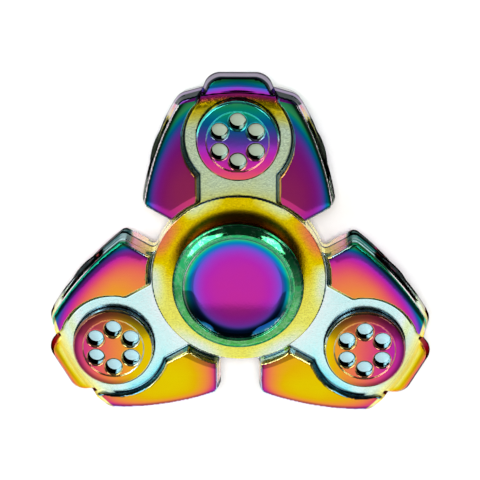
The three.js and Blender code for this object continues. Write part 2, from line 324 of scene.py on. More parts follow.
def surface_net(field, low, high, step):
    """Vertices and quads of the zero surface of a field, one vertex for each crossed cell."""
    axes = [np.arange(low[i], high[i] + step, step, dtype=np.float32) for i in range(3)]
    grid = field(axes[0][:, None, None], axes[1][None, :, None], axes[2][None, None, :])
    grid = np.array(np.broadcast_to(grid, [len(a) for a in axes]), dtype=np.float32)
    clear_pinches(grid)
    inside = grid < 0
    corners = [np.array([i >> 2, (i >> 1) & 1, i & 1]) for i in range(8)]
    shape = [n - 1 for n in grid.shape]
    corner_sum = np.zeros(shape, np.int8)
    for corner in corners:
        window = tuple(slice(start, start + n) for start, n in zip(corner, shape))
        corner_sum += inside[window]
    cells = np.argwhere((corner_sum > 0) & (corner_sum < 8))
    index = np.full(shape, -1, np.int32)
    index[tuple(cells.T)] = np.arange(len(cells))
    total = np.zeros((len(cells), 3))
    count = np.zeros(len(cells))
    for i, first in enumerate(corners):
        for second in corners[i + 1 :]:
            if np.abs(first - second).sum() != 1:
                continue
            a = grid[tuple((cells + first).T)]
            b = grid[tuple((cells + second).T)]
            crossed = (a < 0) != (b < 0)
            share = a / np.where(crossed, a - b, 1)
            point = first + share[:, None] * (second - first)
            total[crossed] += point[crossed]
            count[crossed] += 1
    points = np.array(low) + step * (cells + total / count[:, None])
    return points, net_quads(inside, index)


def net_quads(inside, index):
    """One quad round each grid edge that the surface crosses, joining the vertices of its four cells."""
    quads = []
    for axis in range(3):
        first = [slice(None)] * 3
        second = [slice(None)] * 3
        first[axis] = slice(0, -1)
        second[axis] = slice(1, None)
        one, two = inside[tuple(first)], inside[tuple(second)]
        u, v = [(1, 2), (2, 0), (0, 1)][axis]
        for rising in (True, False):
            edge = np.argwhere((one & ~two) if rising else (~one & two))
            step_u, step_v = np.eye(3, dtype=int)[u], np.eye(3, dtype=int)[v]
            ring = [edge - step_u - step_v, edge - step_v, edge, edge - step_u]
            quad = np.stack([index[tuple(cell.T)] for cell in ring], axis=1)
            quads.append(quad if rising else quad[:, ::-1])
    return np.concatenate(quads)


def gradient(field, points, reach=0.02):
    """Direction in which a field grows, by central differences."""
    slope = np.empty_like(points)
    for axis in range(3):
        ahead, behind = points.copy(), points.copy()
        ahead[:, axis] += reach
        behind[:, axis] -= reach
        slope[:, axis] = (field(*ahead.T) - field(*behind.T)) / (2 * reach)
    return slope


def settle(field, points, rounds):
    """Moves points onto the zero surface of a field."""
    for _ in range(rounds):
        slope = gradient(field, points)
        length = np.maximum((slope**2).sum(1), 0.05)
        shift = slope * (field(*points.T) / length)[:, None]
        size = np.linalg.norm(shift, axis=1, keepdims=True)
        points = points - shift * np.minimum(1, 0.15 / np.maximum(size, 1e-9))
    return points


def mesh_from(name, points, faces):
    mesh = bpy.data.meshes.new(name)
    mesh.from_pydata(points * MM, [], faces)
    mesh.update()
    return mesh


SHORTEST_EDGE = 2e-5


def remove_slivers(mesh):
    """Takes out faces with no area."""
    work = bmesh.new()
    work.from_mesh(mesh)
    bmesh.ops.dissolve_degenerate(work, dist=SHORTEST_EDGE * MM, edges=work.edges)
    bmesh.ops.triangulate(work, faces=work.faces)
    work.to_mesh(mesh)
    work.free()


def vertex_places(mesh):
    """The vertices of a mesh in millimetres."""
    coords = np.empty(len(mesh.vertices) * 3, np.float32)
    mesh.vertices.foreach_get("co", coords)
    return coords.reshape(-1, 3).astype(float) / MM


def field_mesh(name, field, low, high, step, triangles):
    """A smooth-shaded mesh of a field, thinned where the surface is flat."""
    points, quads = surface_net(field, low, high, step)
    points = settle(field, points, 3)
    dense = bpy.data.objects.new(name + "_dense", mesh_from(name + "_dense", points, quads.tolist()))
    bpy.context.scene.collection.objects.link(dense)
    if 2 * len(quads) > triangles:
        thin = dense.modifiers.new("thin", "DECIMATE")
        thin.ratio = triangles / (2 * len(quads))
    found = bpy.context.evaluated_depsgraph_get()
    mesh = bpy.data.meshes.new_from_object(dense.evaluated_get(found), depsgraph=found)
    bpy.data.objects.remove(dense)
    mesh.name = name
    settled = settle(field, vertex_places(mesh), 2)
    mesh.vertices.foreach_set("co", (settled * MM).astype(np.float32).ravel())
    mesh.update()
    remove_slivers(mesh)
    mesh.polygons.foreach_set("use_smooth", np.ones(len(mesh.polygons), bool))
    slope = gradient(field, vertex_places(mesh), 0.01)
    slope /= np.maximum(np.linalg.norm(slope, axis=1, keepdims=True), 1e-9)
    mesh.normals_split_custom_set_from_vertices(slope.astype(np.float32).tolist())
    return mesh


def piece(name, mesh, node, material, body):
    """A finished object that stands for a CAD node and rides on its body."""
    made = bpy.data.objects.new(name, mesh)
    bpy.context.scene.collection.objects.link(made)
    mesh.materials.clear()
    mesh.materials.append(material)
    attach(made, body)
    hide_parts(node)
    return made


SAME_PLACE = 1e-6


def turned_mesh(name, profile, segments):
    """A solid of revolution about Z from (radius, height) points; points on the axis become one vertex."""
    points, rings, faces = [], [], []
    steps = zip(profile[1:], profile)
    moved = [point for point, last in steps if math.dist(point, last) > SAME_PLACE]
    for radius, height in [profile[0], *moved]:
        if radius < SAME_PLACE:
            rings.append([len(points)] * segments)
            points.append((0, 0, height))
            continue
        rings.append(list(range(len(points), len(points) + segments)))
        for i in range(segments):
            angle = 2 * math.pi * i / segments
            points.append((radius * math.cos(angle), radius * math.sin(angle), height))
    for a, b in zip(rings, rings[1:]):
        for i in range(segments):
            j = (i + 1) % segments
            corners = [a[i], a[j], b[j], b[i]]
            corners = [v for k, v in enumerate(corners) if v not in corners[:k]]
            if len(corners) > 2:
                faces.append(corners)
    mesh = mesh_from(name, np.array(points), faces)
    mesh.polygons.foreach_set("use_smooth", np.ones(len(mesh.polygons), bool))
    return mesh


# ------------------------------ node arithmetic


class Value:
    """A number in a node tree that takes part in ordinary sums."""

    def __init__(self, tree, socket):
        self.tree = tree
        self.socket = socket

    def feed(self, socket, value):
        if isinstance(value, Value):
            self.tree.links.new(value.socket, socket)
        else:
            socket.default_value = value

    def math(self, operation, first, second=None):
        node = self.tree.nodes.new("ShaderNodeMath")
        node.operation = operation
        self.feed(node.inputs[0], first)
        if second is not None:
            self.feed(node.inputs[1], second)
        return Value(self.tree, node.outputs[0])

    def __add__(self, other):
        return self.math("ADD", self, other)

    __radd__ = __add__

    def __mul__(self, other):
        return self.math("MULTIPLY", self, other)

    __rmul__ = __mul__

    def __sub__(self, other):
        return self.math("SUBTRACT", self, other)

    def __rsub__(self, other):
        return self.math("SUBTRACT", other, self)

    def __truediv__(self, other):
        return self.math("DIVIDE", self, other)

    def __neg__(self):
        return self.math("MULTIPLY", self, -1.0)

    def __abs__(self):
        return self.math("ABSOLUTE", self)

    def __pow__(self, power):
        return self.math("POWER", self, power)

    def top(self, other):
        return self.math("MAXIMUM", self, other)

    def low(self, other):
        return self.math("MINIMUM", self, other)

    def exp(self):
        return self.math("EXPONENT", self)

    def cos(self):
        return self.math("COSINE", self)

    def sin(self):
        return self.math("SINE", self)

    def round(self):
        return self.math("ROUND", self)

    def hypot(self, other):
        return (self * self + other * other) ** 0.5

    def ease(self, start, end):
        """0 at start, 1 at end, smooth between; start may be the larger."""
        node = self.tree.nodes.new("ShaderNodeMapRange")
        node.interpolation_type = "SMOOTHSTEP"
        self.tree.links.new(self.socket, node.inputs["Value"])
        first, last = (start, end) if start < end else (end, start)
        node.inputs["From Min"].default_value = first
        node.inputs["From Max"].default_value = last
        node.inputs["To Min"].default_value = 0.0 if start < end else 1.0
        node.inputs["To Max"].default_value = 1.0 if start < end else 0.0
        return Value(self.tree, node.outputs["Result"])

    def between(self, rise, risen, fall, fallen):
        """0 below rise and above fallen, 1 from risen to fall, smooth between."""
        return self.ease(rise, risen) * self.ease(fallen, fall)

    def mix(self, first, second):
        """first where this is 0, second where it is 1."""
        return first + self * (second - first)


def linear(code):
    """Linear colour of a web colour code."""
    parts = [int(code[i : i + 2], 16) / 255 for i in (0, 2, 4)]
    return [c / 12.92 if c <= 0.04045 else ((c + 0.055) / 1.055) ** 2.4 for c in parts] + [1.0]


# Interference colours of the plating, from a thin film to a thick one.
FILM = [
    (0.00, "7fd6ec"),
    (0.05, "b9eaf0"),
    (0.10, "d5f0e6"),
    (0.14, "dcecb4"),
    (0.17, "e4e670"),
    (0.20, "e2ca00"),
    (0.25, "e3b206"),
    (0.30, "ec9a2c"),
    (0.36, "ec8446"),
    (0.42, "e86c56"),
    (0.47, "e05468"),
    (0.52, "d63e80"),
    (0.58, "c62c96"),
    (0.64, "b428b0"),
    (0.70, "9c3ac4"),
    (0.75, "7c4cd0"),
    (0.80, "4a60cc"),
    (0.84, "0f78c4"),
    (0.88, "0290c2"),
    (0.92, "08b0b0"),
    (0.96, "12c090"),
    (1.00, "48cc80"),
]


BUMP_DEPTH = 0.05


class Paint:
    """One material's node tree, with the coordinates that its colours are worked out from."""

    def __init__(self, name):
        self.material = bpy.data.materials.new(name)
        self.material.use_nodes = True
        self.tree = self.material.node_tree
        self.shader = self.tree.nodes["Principled BSDF"]
        self.shader.inputs["Metallic"].default_value = 1.0
        self.place = self.tree.nodes.new("ShaderNodeTexCoord")
        scaled = self.tree.nodes.new("ShaderNodeVectorMath")
        scaled.operation = "SCALE"
        scaled.inputs["Scale"].default_value = 1 / MM
        self.link(self.place.outputs["Object"], scaled.inputs[0])
        self.point = scaled.outputs[0]
        self.x, self.y, self.z = self.parts(self.point)
        self.normal_x, self.normal_y, self.normal_z = self.parts(self.place.outputs["Normal"])
        self.height = abs(self.z)
        self.reach = self.x.hypot(self.y)

    def link(self, out, into):
        self.tree.links.new(out, into)

    def parts(self, socket):
        node = self.tree.nodes.new("ShaderNodeSeparateXYZ")
        self.link(socket, node.inputs[0])
        return [Value(self.tree, out) for out in node.outputs]

    def fold(self):
        """along and across the nearest arm, and how far that arm points towards +Y."""
        turn = 2 * math.pi / ARMS
        angle = self.y.math("ARCTAN2", self.y, self.x) - math.pi / 2
        sector = (angle / turn).round() * turn
        local = angle - sector
        return self.reach * local.cos(), abs(self.reach * local.sin()), sector.cos()

    def noise(self, scale, detail=3.0, rough=0.5, stretch=None):
        node = self.tree.nodes.new("ShaderNodeTexNoise")
        node.inputs["Scale"].default_value = scale
        node.inputs["Detail"].default_value = detail
        node.inputs["Roughness"].default_value = rough
        source = self.point
        if stretch:
            warp = self.tree.nodes.new("ShaderNodeVectorMath")
            warp.operation = "MULTIPLY"
            warp.inputs[1].default_value = stretch
            self.link(self.point, warp.inputs[0])
            source = warp.outputs[0]
        self.link(source, node.inputs["Vector"])
        return Value(self.tree, node.outputs["Fac"])

    def film(self, phase):
        """Interference colour of the plating at a film thickness from 0 to 1."""
        node = self.tree.nodes.new("ShaderNodeValToRGB")
        elements = node.color_ramp.elements
        while len(elements) < len(FILM):
            elements.new(0.5)
        for element, (at, code) in zip(elements, FILM):
            element.position = at
            element.color = linear(code)
        self.link(phase.socket, node.inputs[0])
        return node.outputs[0]

    def blend(self, share, first, second):
        """The first colour where share is 0, the second where it is 1."""
        node = self.tree.nodes.new("ShaderNodeMix")
        node.data_type = "RGBA"
        if isinstance(share, Value):
            self.link(share.socket, node.inputs[0])
        else:
            node.inputs[0].default_value = share
        for socket, colour in ((node.inputs[6], first), (node.inputs[7], second)):
            if isinstance(colour, str):
                socket.default_value = linear(colour)
            else:
                self.link(colour, socket)
        return node.outputs[2]

    def shade(self, colour, factor):
        """A colour multiplied by a number."""
        node = self.tree.nodes.new("ShaderNodeVectorMath")
        node.operation = "SCALE"
        self.link(colour, node.inputs[0])
        self.link(factor.socket, node.inputs["Scale"])
        return node.outputs[0]

    def finish(self, colour, roughness, bump, strength):
        """Connects the colour, the roughness and the bumps, and gives the material."""
        self.link(colour, self.shader.inputs["Base Color"])
        self.link(roughness.socket, self.shader.inputs["Roughness"])
        node = self.tree.nodes.new("ShaderNodeBump")
        node.inputs["Strength"].default_value = strength
        node.inputs["Distance"].default_value = BUMP_DEPTH * MM
        self.link(bump.socket, node.inputs["Height"])
        self.link(node.outputs[0], self.shader.inputs["Normal"])
        return self.material


# ------------------------------ materials

# The plating runs from pale and yellow at -Y to violet and green at +Y, and deepens towards each edge.
TREND_AT_AXIS = 0.384
TREND_PER_MM = 0.0115
TREND_PER_MM_ASIDE = 0.0012

# Web colours of the casting. A pair is blended from its first colour to its second.
TINT = {
    # glare: the specular tint, near black on walls whose reflections are taken off to leave painted shade.
    "glare": ("ffffff", "0c0c0c"),
    # notch: notch walls painted pale, a painted light.
    "notch": ("f6b8d4", "fdf39c"),
    "wall": ("8c8a9a", "a39dac"),
    "side": ("2a5a50", "0f4a3c"),
    "flank": ("86989a", "3c6e60"),
    "flank_top": "0d3a36",
    # end and the first tip_wall colour: the lower arms' dark end and tip walls, painted shade.
    # end_top_arm: the top arm's end wall painted pale, a painted light.
    "end": "3c2450",
    "end_top_arm": "c6d0cb",
    "tip_wall": ("461a30", "8a7890"),
    # mouth and tip_slope: slopes painted pale and warm, a painted light.
    "mouth": ("c8dcc8", "d8d88c"),
    "tip_slope": ("dcd884", "eccb12"),
    # bevel to low_bevel: painted highlights and painted reflections on the bevels.
    "bevel": "e8fbff",
    "outer_bevel": ("0c302e", "16c49a"),
    "top_bevel": ("0c2a28", "dcccd4"),
    "inner_bevel": "f2d024",
    "low_bevel": "6a7078",
    # panel_line: a painted dark reflection just inside the panels' edges.
    "panel_line": "0c1c26",
    "parting_line": "17131f",
    "tip_line": "0b1a20",
    # recess: walls darker at their foot, recess_up near black: painted shade. recess_down: a painted
    # reflection.
    "recess": ("1a5262", "58a8c0"),
    "recess_up": "0a1530",
    "recess_down": "d8c43c",
    "hub": ("0e5e56", "b4e2ee"),
    "hub_upper": "3c6a58",
    # crest: a painted highlight along the top of the walls round the weights and the hub.
    "crest": ("f6ea90", "f0b060"),
    # rail and pocket: painted shade. pocket_lip: a painted highlight.
    "rail": ("1c0d12", "0a2018"),
    "pocket": "06090c",
    "pocket_lip": "e4dade",
}


def trend(paint):
    drop = paint.y.ease(8, 20) * 0.05
    return TREND_AT_AXIS + paint.y * TREND_PER_MM - drop + paint.x * TREND_PER_MM_ASIDE


class CastingPaint(Paint):
    """The casting's node tree, with masks for its arms, its faces and its walls."""

    def __init__(self):
        super().__init__("rainbow_casting")
        self.along, self.across, self.arm_y = self.fold()
        self.top_arm = self.arm_y.ease(0, 1)
        self.low_arm = 1.0 - self.top_arm
        self.high = self.y.ease(-14, -6)
        self.flat = abs(self.normal_z)
        self.cloud = (self.noise(0.35, 2.0) - 0.5) * 0.03
        self.measure()
        self.mask_faces()
        self.mask_walls()

    def measure(self):
        """Distances from the edges of an arm, positive inside it."""
        tilt = math.pi / ARMS
        self.notch = self.along * math.sin(tilt) - self.across * math.cos(tilt) - NOTCH_HALF
        self.side = SIDE_RADIUS - (self.along - SIDE_CENTRE[0]).hypot(self.across - SIDE_CENTRE[1])
        self.share = side_share(self.along, self.across)
        self.from_disc = (self.along - DISC_AT).hypot(self.across)
        self.from_end = END_WALL_AT - self.along

    def mask_faces(self):
        # under_cap: the hub's ring on the +Y side next to the cap, painted browner and darker as painted
        # shade under the cap.
        self.under_cap = self.reach.ease(11.2, 10.2) * self.y.ease(0, 6)
        self.on_tip = self.reach.ease(TIP_START - 0.1, TIP_START + 0.05)
        self.off_tip = 1.0 - self.on_tip
        self.on_panel = self.height.ease(2.35, 2.7) * self.reach.ease(13.3, 13.6)
        self.on_ring = self.reach.ease(HUB_RADIUS + 0.15, HUB_RADIUS) * self.height.ease(2.1, 2.25)

    def mask_walls(self):
        on_slope = self.reach.ease(26.8, 27.0) * self.height.ease(2.25, 2.15)
        self.bevel = self.flat.between(0.3, 0.5, 0.9, 0.97) * (1.0 - on_slope)
        self.wall = self.flat.ease(0.45, 0.25).top(self.on_tip * self.flat.ease(0.62, 0.5))
        self.lean = self.wall.top(self.bevel)
        self.notch_wall = self.wall * self.notch.ease(0.6, 0.1) * self.reach.ease(17.5, 16.5)
        self.side_wall = self.wall * self.side.ease(1.2, 0.8) * self.reach.between(16.0, 18.0, 26.5, 27.5)
        self.end_wall = self.wall * self.from_end.ease(2.2, 1.0) * self.top_arm * self.off_tip
        self.low_end = self.wall * self.from_end.ease(1.8, 0.8) * self.low_arm * self.high * self.off_tip
        self.plate = (1.0 - self.on_panel) * self.off_tip * (1.0 - self.on_ring) * (1.0 - self.wall)

    def film_at(self, phase):
        return self.film(phase.top(0).low(1))


def panel_phase(paint):
    """Film thickness on the panels, which deepens towards their edges."""
    wide_edge = (paint.side.top(0) / -1.4).exp() * paint.top_arm.mix(0.55, 0.45)
    thin_edge = (paint.side.top(0) / -0.5).exp() * 0.34
    near_notch = (paint.notch.top(0) / paint.high.mix(-1.5, -1.3)).exp()
    near_notch = near_notch * paint.high.mix(0.4, 0.26) * (1.0 - paint.top_arm * 0.5)
    near_end = ((28.0 - paint.along).top(0) / -2.4).exp() * 0.3
    off_along, off_across = paint.along - 17.3, paint.across - 7.5
    spot = ((off_along * off_along + off_across * off_across) / -12.0).exp()
    spot = spot * paint.high * paint.low_arm * -0.06
    edges = paint.high.mix(thin_edge, wide_edge) + near_notch + near_end
    return trend(paint).top(0.2) + spot + edges + paint.cloud


def web_phase(paint):
    """Film thickness on the flat web round the weights."""
    near_hub = ((paint.reach - 13.0).top(0) / -1.2).exp() * 0.05
    outer = paint.reach.ease(24.0, 26.8) * paint.top_arm.mix(0.08, 0.07)
    crease = paint.reach.ease(27.0, 28.4) * 0.05 + paint.reach.ease(27.7, 28.6) * paint.top_arm * 0.3
    below = (paint.y - paint.arm_y * DISC_AT).ease(1, -5)
    recess = (abs(paint.from_disc - 7.8) / -0.8).exp() * paint.low_arm * below * -0.08
    return paint.top_arm.mix(0.058, 0.125) + near_hub + outer + crease + recess + paint.cloud


def tip_phase(paint):
    # The flank of tip_field, in round numbers.
    from_flank = (paint.across * -2.8 - paint.along * 1.1 + 45.0) / 3.0
    from_edge = (TIP_END - paint.along).low(from_flank).top(0)
    low = 0.14 + paint.reach.ease(29.0, 31.2) * 0.1 + (from_edge / -0.3).exp() * 0.24
    top = 0.54 + (paint.reach - TIP_START).top(0) * 0.19 + paint.across * 0.015
    return paint.top_arm.mix(low, top) + paint.cloud


def ring_phase(paint):
    """Film thickness on the hub's ring, warmer beside the two upper notches."""
    angle = paint.y.math("ARCTAN2", paint.y, paint.x)
    # 1 on the arms' axes and in the notches, 0 midway between them.
    lobes = (angle * (2 * ARMS)).cos() * -0.5 + 0.5
    outward = paint.reach.ease(10.6, 12.9)
    near_notch = (paint.along - paint.across * 0.5).ease(8.4, 6.8)
    heat = lobes * outward * near_notch * paint.y.ease(-4, 5) * 0.18
    ring = paint.y.ease(-6, 8).mix(0.18, 0.215) - (1.0 - lobes) * outward * 0.07
    return ring + heat + paint.under_cap * 0.06 + paint.cloud * 0.5


def casting_phase(paint):
    web_or_panel = paint.on_panel.mix(web_phase(paint), panel_phase(paint))
    arm = paint.on_tip.mix(web_or_panel, tip_phase(paint))
    phase = paint.on_ring.mix(arm, ring_phase(paint))
    return paint.notch_wall.mix(phase, 0.17 + paint.reach.ease(13.0, 17.5) * 0.4)


def wall_tint(paint):
    """Colour of the outer walls: the arms' sides, their ends and the tips. The lower arms' dark end walls
    and dark tip walls are painted shade; the top arm's pale end wall is painted light.
    """
    tint = paint.blend(paint.top_arm, *TINT["wall"])
    side = paint.blend(paint.height.ease(0.2, 2.6), *TINT["side"])
    tint = paint.blend(paint.side_wall * paint.top_arm, tint, side)
    flank = paint.blend(paint.x.ease(-1, 1), *TINT["flank"])
    flank = paint.blend(paint.height.ease(2.75, 3.0), flank, TINT["flank_top"])
    tint = paint.blend(paint.side_wall * paint.low_arm * paint.high, tint, flank)
    tint = paint.blend(paint.end_wall, tint, TINT["end_top_arm"])
    tint = paint.blend(paint.low_end, tint, TINT["end"])
    tip = paint.blend(paint.top_arm, *TINT["tip_wall"])
    return paint.blend(paint.on_tip, tint, tip)


def paint_walls(paint, colour):
    # Notch walls are painted pale, pink to yellow: a painted light, paler than their reflection of the
    # shaded floor.
    notch = paint.blend(paint.reach.ease(17.5, 13.5), *TINT["notch"])
    colour = paint.blend(paint.notch_wall * 0.7, colour, notch)
    other = paint.wall * (1.0 - paint.notch_wall) * paint.top_arm.mix(0.75, 0.93)
    return paint.blend(other, colour, wall_tint(paint))


def paint_mouths(paint, colour):
    """The slope where an arm's web meets its tip, painted pale, and the tip's slope, painted warm yellow:
    painted light on slopes that would reflect dark. Also gives the share of it at each place.
    """
    mouth = paint.reach.between(26.6, 27.4, 28.6, 28.9) * paint.height.between(1.2, 1.4, 2.15, 2.25)
    mouth = mouth * paint.low_arm
    pale = paint.blend(paint.reach.ease(27.4, 28.8), *TINT["mouth"])
    colour = paint.blend(mouth, colour, pale)
    tip_slope = paint.on_tip * paint.reach.ease(30.1, 29.2) * paint.low_arm * paint.height.ease(1.2, 1.35)
    warm = paint.blend(paint.reach.ease(28.9, 29.6), *TINT["tip_slope"])
    return paint.blend(tip_slope, colour, warm), mouth.top(tip_slope)


def paint_edges(paint, colour, phase):
    """Bevels along the panels and the web, painted with highlights and reflections; the dark lines beside
    them, a painted dark reflection; and the parting line.
    """
    from_edge = paint.side.low(paint.notch)
    line = from_edge.ease(0.6, 0.22) * paint.on_panel * paint.flat.ease(0.9, 0.97)
    colour = paint.blend(line * paint.high.mix(0.5, 0.85), colour, TINT["panel_line"])
    core = paint.flat.between(0.5, 0.62, 0.85, 0.92)
    outer = paint.side.ease(0.6, 0.4)
    # A painted highlight on the bevels, with painted reflections of dark and teal on the outer and top
    # bevels and a yellow painted highlight on the inner ones.
    bright = paint.blend(0.55, paint.film_at(phase + 0.12), TINT["bevel"])
    outer_bevel = paint.blend(core, *TINT["outer_bevel"])
    bright = paint.blend(outer * paint.low_arm * paint.high, bright, outer_bevel)
    top_bevel = paint.blend(core, *TINT["top_bevel"])
    bright = paint.blend(outer * paint.top_arm, bright, top_bevel)
    bright = paint.blend(from_edge.ease(0.7, 1.0) * paint.low_arm, bright, TINT["inner_bevel"])
    colour = paint.blend(paint.bevel * paint.height.ease(2.2, 2.5), colour, bright)
    # Bevels lower down are painted grey, a duller painted reflection than the highlight above.
    below = paint.bevel * paint.height.between(0.3, 0.5, 2.1, 2.4) * paint.off_tip
    colour = paint.blend(below, colour, TINT["low_bevel"])
    colour = paint.blend(paint.wall * paint.height.ease(0.42, 0.16), colour, TINT["parting_line"])
    tip_line = paint.on_tip * paint.flat.ease(0.97, 0.9) * paint.height.ease(0.9, 1.1)
    return paint.blend(tip_line * paint.top_arm, colour, TINT["tip_line"])


def paint_recess(paint, colour):
    """Walls round the weights and beside the hub. The weights' walls carry painted shade, darker at their
    foot and near black where they face +Y, and a yellow painted reflection where they face -Y; both kinds
    get a painted highlight along their top. Also gives the dark part, which faces +Y.
    """
    raised = paint.height.ease(1.95, 2.1)
    round_disc = paint.lean * paint.from_disc.ease(8.9, 8.6) * raised
    beside_neck = paint.lean * paint.across.ease(6.6, 6.4) * paint.along.ease(17.5, 17.0) * raised
    deep = round_disc.top(beside_neck)
    faces_up = paint.normal_y.ease(0.35, 0.75)
    tint = paint.blend(paint.height.ease(2.1, 3.0), *TINT["recess"])
    tint = paint.blend(faces_up, tint, TINT["recess_up"])
    tint = paint.blend(paint.normal_y.ease(-0.1, -0.4), tint, TINT["recess_down"])
    colour = paint.blend(deep, colour, tint)
    by_hub = paint.lean * paint.reach.between(13.15, 13.3, 14.3, 14.7) * paint.height.ease(2.05, 2.2)
    by_hub = by_hub * paint.low_arm
    tint = paint.blend(paint.x.ease(-1, 1), *TINT["hub"])
    tint = paint.blend(paint.y.ease(-8, -4), tint, TINT["hub_upper"])
    colour = paint.blend(by_hub, colour, tint)
    crest = paint.blend(paint.top_arm, *TINT["crest"])
    colour = paint.blend(deep.top(by_hub) * paint.height.ease(3.0, 3.2), colour, crest)
    return colour, deep * faces_up


def paint_pockets(paint, colour):
    """The side pockets, painted near black as painted shade, with their rails painted dark as painted
    shade and their lips painted pale as a painted highlight; also gives the dark part and the lip.
    """
    share, height, side = paint.share, paint.height, paint.side
    pocket_end = POCKET_START + POCKET_LENGTH
    rail = side.ease(0.05, -0.1) * height.ease(0.62, 0.5)
    rail = rail * share.between(POCKET_START, 0.2, 0.7, pocket_end)
    rail_tint = paint.blend(paint.top_arm, *TINT["rail"])
    colour = paint.blend(rail * 0.92, colour, rail_tint)
    inside = height.between(0.45, 0.6, 2.2, 2.3) * side.between(-0.45, -0.35, 0.17, 0.22)
    inside = inside * share.between(POCKET_START, 0.16, 0.76, pocket_end)
    # Specks of plating colour show in the pocket's painted shade on the lower arms.
    speckle = paint.noise(0.9, 3.0, 0.6).ease(0.55, 0.68)
    floor = paint.blend(speckle * paint.low_arm, TINT["pocket"], paint.film(0.36 + speckle * 0.2))
    colour = paint.blend(inside, colour, floor)
    lip = paint.side_wall * height.between(2.25, 2.35, 2.6, 2.75) * share.ease(0.3, 0.42) * paint.low_arm
    return paint.blend(lip, colour, TINT["pocket_lip"]), inside.top(rail), lip


def body_material():
    paint = CastingPaint()
    phase = casting_phase(paint)
    colour = paint_walls(paint, paint.film_at(phase))
    colour, mouth = paint_mouths(paint, colour)
    colour = paint_edges(paint, colour, phase)
    colour, dark_recess = paint_recess(paint, colour)
    colour, dark_pocket, lip = paint_pockets(paint, colour)

    matte = paint.on_ring.top(paint.plate * 0.55)
    grain = paint.noise(3.6, 3.0, 0.8)
    fine = paint.noise(2.2, 4.0, 0.6)
    worms = (abs(paint.noise(1.1, 5.0, 0.72) - 0.5) * -26.0).exp()
    worms = worms * paint.plate * paint.top_arm.mix(0.35, 1.0)
    scratch = paint.noise(1.6, 2.0, 0.5, (0.15, 6.0, 1.0))
    # Besides grain, scratches and worm marks: the top arm's panels darker towards their middle, its web
    # darker and the lower arms' web lighter, all painted reflection; the lower arms' web darker towards
    # their ends; the ring lighter, and darker under the cap as painted shade.
    tone = 1.0 + (grain - 0.5) * matte * 1.3 + (scratch - 0.5) * 0.05 + worms * 0.16
    tone = tone - paint.on_panel * paint.top_arm * paint.side.ease(0.5, 3.0) * 0.22
    tone = tone + paint.plate * paint.top_arm.mix(0.3, -0.12)
    tone = tone - paint.plate * paint.low_arm * paint.reach.ease(25.0, 27.5) * 0.3
    tone = tone + paint.on_ring * (0.25 - paint.under_cap * 0.75)
    roughness = matte.mix(0.07, 0.22) + (fine - 0.5) * 0.05 + paint.wall * 0.08

    # Specular tint near black on the side walls, the pockets, the recess walls facing +Y, the lower arms'
    # ends and tip walls, but not on the lips: painted shade, with their reflections taken off.
    shade_walls = paint.side_wall.top(dark_pocket).top(dark_recess).top(paint.low_end)
    shade_walls = shade_walls.top(paint.on_tip * paint.wall * paint.low_arm) * (1.0 - lip)
    glare = paint.blend(shade_walls, *TINT["glare"])
    paint.link(glare, paint.shader.inputs["Specular Tint"])
    # The notch walls, the top arm's end walls and the mouths are made mostly non-metallic, so that the
    # lamp lights their painted light as pale paint.
    lamp_lit = paint.end_wall.top(paint.notch_wall * 0.7).top(mouth)
    paint.link((1.0 - lamp_lit * 0.75).socket, paint.shader.inputs["Metallic"])
    bump = grain * matte + fine * 0.15 + worms * 0.4
    return paint.finish(paint.shade(colour, tone), roughness, bump, 0.3)


def disc_phase(paint, along, arm_y, from_centre):
    """Film thickness on a weight's face, which steps down at its outer ring."""
    centre_y = arm_y * DISC_AT
    # Roughly the weight's place in X: 0 on the top arm, and to the left or right on the other two.
    centre_x = paint.x.math("SIGN", paint.x) * (1.0 - arm_y) * DISC_AT * 0.58 * arm_y.ease(0.9, 0.6)
    cloud = (paint.noise(0.6, 2.0) - 0.5) * 0.03
    phase = 0.53 + centre_y * 0.0106 + (paint.y - centre_y) * 0.02
    phase = phase + (along - DISC_AT) * arm_y.ease(0, 1).mix(0.042, 0.026) + centre_x * 0.0022 + cloud
    return (phase - from_centre.ease(STEP_RADIUS - 0.1, STEP_RADIUS + 0.1) * 0.04).top(0.22)


